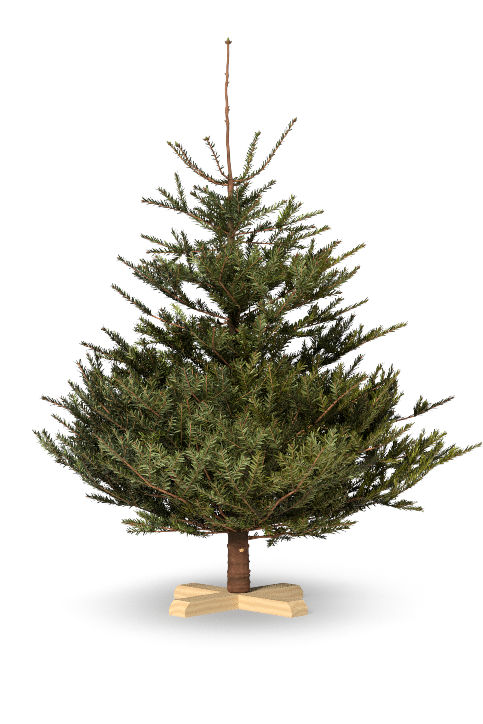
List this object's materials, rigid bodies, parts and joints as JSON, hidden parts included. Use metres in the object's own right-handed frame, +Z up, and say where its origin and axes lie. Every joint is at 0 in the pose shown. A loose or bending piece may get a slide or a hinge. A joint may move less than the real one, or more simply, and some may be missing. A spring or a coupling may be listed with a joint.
{
  "type": "cut fir christmas tree",
  "caption": "Cut fir Christmas tree with a long bare leader, tiers of rising needled boughs and a short bare trunk, standing on a plain crossed-board timber stand.",
  "frame": {"origin": "under the trunk, at the middle of the stand's flat underside", "axes": "+Z up along the trunk; -Y is the front of the crown and +X its right side seen from the front"},
  "size_m": [1.4185, 1.2406, 1.8463],
  "materials": {
    "bark": "rough reddish brown bark with ridges, branch scars and a pale cut",
    "twig_bark": "smooth orange brown young bark",
    "needles": "glossy dark green needles, paler and bluer beneath",
    "timber": "sawn and lightly sanded bare softwood"
  },
  "bodies": {
    "root": {"bough_fifth_back": "twig_bark", "bough_fifth_front_left": "twig_bark", "bough_fifth_front_right": "twig_bark", "bough_fifth_left": "twig_bark", "bough_fifth_right": "twig_bark", "bough_fourth_back": "twig_bark", "bough_fourth_front": "twig_bark", "bough_fourth_left": "twig_bark", "bough_fourth_right": "twig_bark", "bough_lowest_back_left": "twig_bark", "bough_lowest_back_right": "twig_bark", "bough_lowest_front_left": "twig_bark", "bough_lowest_front_right": "twig_bark", "bough_lowest_left": "twig_bark", "bough_lowest_right": "twig_bark", "bough_second_back": "twig_bark", "bough_second_front": "twig_bark", "bough_second_left": "twig_bark", "bough_second_right": "twig_bark", "bough_third_back": "twig_bark", "bough_third_front": "twig_bark", "bough_third_left": "twig_bark", "bough_third_right": "twig_bark", "bough_top_back_left": "twig_bark", "bough_top_back_right": "twig_bark", "bough_top_front": "twig_bark", "bough_top_left": "twig_bark", "bough_top_right": "twig_bark", "foliage_between_left": "needles", "foliage_between_right": "needles", "foliage_fifth_back": "needles", "foliage_fifth_front_left": "needles", "foliage_fifth_front_right": "needles", "foliage_fifth_left": "needles", "foliage_fifth_right": "needles", "foliage_fourth_back": "needles", "foliage_fourth_front": "needles", "foliage_fourth_left": "needles", "foliage_fourth_right": "needles", "foliage_lowest_back_left": "needles", "foliage_lowest_back_right": "needles", "foliage_lowest_front_left": "needles", "foliage_lowest_front_right": "needles", "foliage_lowest_left": "needles", "foliage_lowest_right": "needles", "foliage_middle_back": "needles", "foliage_middle_front": "needles", "foliage_middle_left": "needles", "foliage_middle_right": "needles", "foliage_second_back": "needles", "foliage_second_front": "needles", "foliage_second_left": "needles", "foliage_second_right": "needles", "foliage_third_back": "needles", "foliage_third_front": "needles", "foliage_third_left": "needles", "foliage_third_right": "needles", "stand_lower_board": "timber", "stand_upper_board": "timber", "trunk": "bark"}
  },
  "joints": []
}
